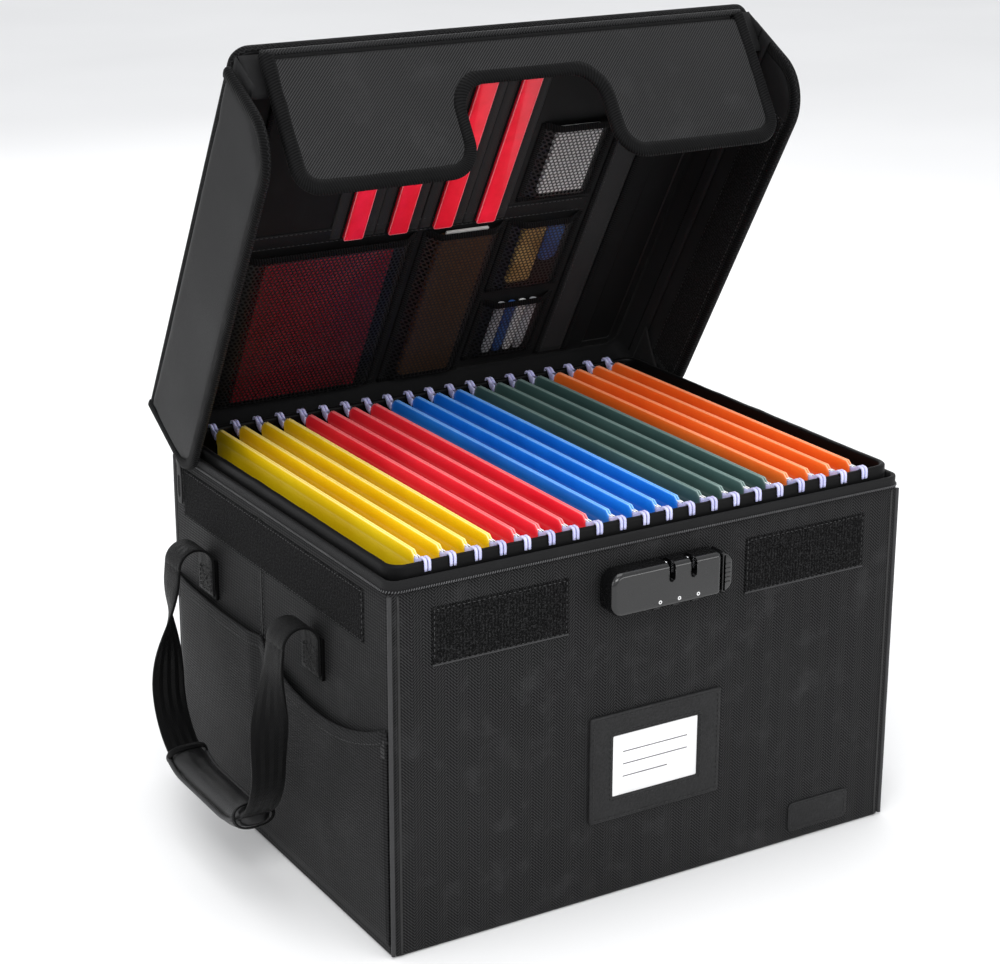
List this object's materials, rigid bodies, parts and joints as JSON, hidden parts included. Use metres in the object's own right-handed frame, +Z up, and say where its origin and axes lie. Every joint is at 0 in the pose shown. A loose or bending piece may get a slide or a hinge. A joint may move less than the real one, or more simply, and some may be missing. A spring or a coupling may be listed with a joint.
{
  "type": "lockable document box",
  "caption": "Rigid cloth-covered document box with a flap-sided lid, three-dial lock, side handles, label holder and coloured hanging folders on hooks.",
  "frame": {"origin": "centre of the underside, on the surface it stands on", "axes": "+Z up, +X to the right and +Y to the back, seen from the front where the lock is"},
  "size_m": [0.5052, 0.38, 0.5591],
  "materials": {
    "coated_cloth": "coated glass-fibre cloth, fine herringbone weave",
    "padded_cloth": "coated cloth over thin foam, diagonal weave",
    "lining_cloth": "smooth lining cloth",
    "rim_cloth": "smooth cloth over a padded strip",
    "zip_tape": "woven zip tape with a fine coil",
    "binding": "ribbed binding over piping cord",
    "hook_and_loop": "hook-and-loop tape, matt",
    "webbing": "woven webbing",
    "grip_cloth": "padded cloth sleeve, slight sheen",
    "leatherette": "grained leatherette, stitched",
    "mesh": "open hexagonal mesh",
    "board": "rigid fibre board",
    "white_card": "plain card",
    "lock_case": "glossy black",
    "lock_inner": "matt black",
    "pin_steel": "bright pin",
    "rail_steel": "plain strip",
    "slider_metal": "black enamel",
    "red_plastic": "satin red",
    "notebook_cover": "dark red cover with white page edges",
    "pocket_contents": "mixed small papers and cards",
    "card_yellow": "coloured card",
    "card_red": "coloured card",
    "card_blue": "coloured card",
    "card_green": "coloured card",
    "card_orange": "coloured card",
    "hook_plastic": "pale moulded plastic"
  },
  "bodies": {
    "case": {"outer_shell": "coated_cloth", "bottom_cloth": "coated_cloth", "base_board": "board", "front_board": "board", "back_board": "board", "left_boards": "board", "right_boards": "board", "inner_liner": "lining_cloth", "rim_collar": "rim_cloth", "hanging_rails": "rail_steel", "body_zipper": "zip_tape", "corner_piping": "binding", "front_loop_patches": "hook_and_loop", "side_loop_strips": "hook_and_loop", "side_pockets": "coated_cloth", "handle_tabs": "webbing", "label_holder": "leatherette", "corner_patch": "leatherette", "lock_backplate": "lock_inner", "lock_housing": "lock_case", "dial_spindle": "pin_steel"},
    "label_card": {"label_card": "white_card"},
    "dial_left": {"dial_left": "lock_inner"},
    "dial_middle": {"dial_middle": "lock_inner"},
    "dial_right": {"dial_right": "lock_inner"},
    "lock_release": {"lock_release": "lock_case"},
    "zipper_slider_left": {"zipper_slider_left": "slider_metal"},
    "zipper_pull_left": {"zipper_pull_left": "slider_metal"},
    "zipper_slider_right": {"zipper_slider_right": "slider_metal"},
    "zipper_pull_right": {"zipper_pull_right": "slider_metal"},
    "lid": {"lid_cover": "padded_cloth", "lid_board": "board", "lid_lining": "lining_cloth", "lid_zipper_skirt": "zip_tape", "organiser_panel": "lining_cloth", "mesh_pockets": "mesh", "red_pens": "red_plastic", "notebook": "notebook_cover", "pocket_items": "pocket_contents"},
    "front_fold": {"front_zipper_skirt": "zip_tape"},
    "front_flap": {"front_flap": "padded_cloth", "front_flap_hooks": "hook_and_loop"},
    "left_flap": {"left_flap": "padded_cloth", "left_flap_hooks": "hook_and_loop"},
    "right_flap": {"right_flap": "padded_cloth", "right_flap_hooks": "hook_and_loop"},
    "left_handle": {"left_handle_strap": "webbing", "left_handle_grip": "grip_cloth"},
    "right_handle": {"right_handle_strap": "webbing", "right_handle_grip": "grip_cloth"},
    "folders_yellow": {"folders_yellow": "card_yellow", "hooks_yellow": "hook_plastic"},
    "folders_red": {"folders_red": "card_red", "hooks_red": "hook_plastic"},
    "folders_blue": {"folders_blue": "card_blue", "hooks_blue": "hook_plastic"},
    "folders_green": {"folders_green": "card_green", "hooks_green": "hook_plastic"},
    "folders_orange": {"folders_orange": "card_orange", "hooks_orange": "hook_plastic"}
  },
  "joints": [
    {"name": "lid_hinge", "type": "hinge", "parent": "case", "child": "lid", "pos_m": [0, 0.1653, 0.2515], "axis": [-1, 0, 0], "range_deg": [-60, 100]},
    {"name": "front_fold", "type": "hinge", "parent": "lid", "child": "front_fold", "pos_m": [0, 0.02768, 0.55206], "axis": [1, 0, 0], "range_deg": [-30, 50]},
    {"name": "front_flap_fold", "type": "hinge", "parent": "front_fold", "child": "front_flap", "pos_m": [0, 0.02408, 0.55478], "axis": [1, 0, 0], "range_deg": [-105, 0]},
    {"name": "left_flap_fold", "type": "hinge", "parent": "lid", "child": "left_flap", "pos_m": [-0.2049, 0.10993, 0.4104], "axis": [0, -0.5, 0.866], "range_deg": [-105, 0]},
    {"name": "right_flap_fold", "type": "hinge", "parent": "lid", "child": "right_flap", "pos_m": [0.2049, 0.10993, 0.4104], "axis": [0, 0.5, -0.866], "range_deg": [-105, 0]},
    {"name": "left_handle_swing", "type": "hinge", "parent": "case", "child": "left_handle", "pos_m": [-0.2168, 0.019, 0.188], "axis": [0, 1, 0], "range_deg": [0, 140]},
    {"name": "right_handle_swing", "type": "hinge", "parent": "case", "child": "right_handle", "pos_m": [0.2168, 0.019, 0.188], "axis": [0, -1, 0], "range_deg": [0, 140]},
    {"name": "dial_left_turn", "type": "hinge", "parent": "case", "child": "dial_left", "pos_m": [-0.0105, -0.1717, 0.2119], "axis": [1, 0, 0], "continuous": true},
    {"name": "dial_middle_turn", "type": "hinge", "parent": "case", "child": "dial_middle", "pos_m": [0.0045, -0.1717, 0.2119], "axis": [1, 0, 0], "continuous": true},
    {"name": "dial_right_turn", "type": "hinge", "parent": "case", "child": "dial_right", "pos_m": [0.0195, -0.1717, 0.2119], "axis": [1, 0, 0], "continuous": true},
    {"name": "lock_release_slide", "type": "slide", "parent": "case", "child": "lock_release", "axis": [1, 0, 0], "range_m": [0, 0.0035], "stiffness_N_per_m": 250},
    {"name": "zipper_slider_left_slide", "type": "slide", "parent": "case", "child": "zipper_slider_left", "axis": [0, -1, 0], "range_m": [0, 0.28]},
    {"name": "zipper_pull_left_swing", "type": "hinge", "parent": "zipper_slider_left", "child": "zipper_pull_left", "pos_m": [-0.2022, 0.147, 0.246], "axis": [0, 1, 0], "range_deg": [0, 100]},
    {"name": "zipper_slider_right_slide", "type": "slide", "parent": "case", "child": "zipper_slider_right", "axis": [0, -1, 0], "range_m": [0, 0.28]},
    {"name": "zipper_pull_right_swing", "type": "hinge", "parent": "zipper_slider_right", "child": "zipper_pull_right", "pos_m": [0.2022, 0.147, 0.246], "axis": [0, -1, 0], "range_deg": [0, 100]},
    {"name": "label_card_slide", "type": "slide", "parent": "case", "child": "label_card", "axis": [0, 0, 1], "range_m": [0, 0.07]},
    {"name": "folders_yellow_lift", "type": "slide", "parent": "case", "child": "folders_yellow", "axis": [0, 0, 1], "range_m": [0, 0.03]},
    {"name": "folders_red_lift", "type": "slide", "parent": "case", "child": "folders_red", "axis": [0, 0, 1], "range_m": [0, 0.03]},
    {"name": "folders_blue_lift", "type": "slide", "parent": "case", "child": "folders_blue", "axis": [0, 0, 1], "range_m": [0, 0.03]},
    {"name": "folders_green_lift", "type": "slide", "parent": "case", "child": "folders_green", "axis": [0, 0, 1], "range_m": [0, 0.03]},
    {"name": "folders_orange_lift", "type": "slide", "parent": "case", "child": "folders_orange", "axis": [0, 0, 1], "range_m": [0, 0.03]}
  ],
  "couplings": [
    {"joint": "front_fold", "follows": "lid_hinge", "ratio": 0.46667}
  ]
}
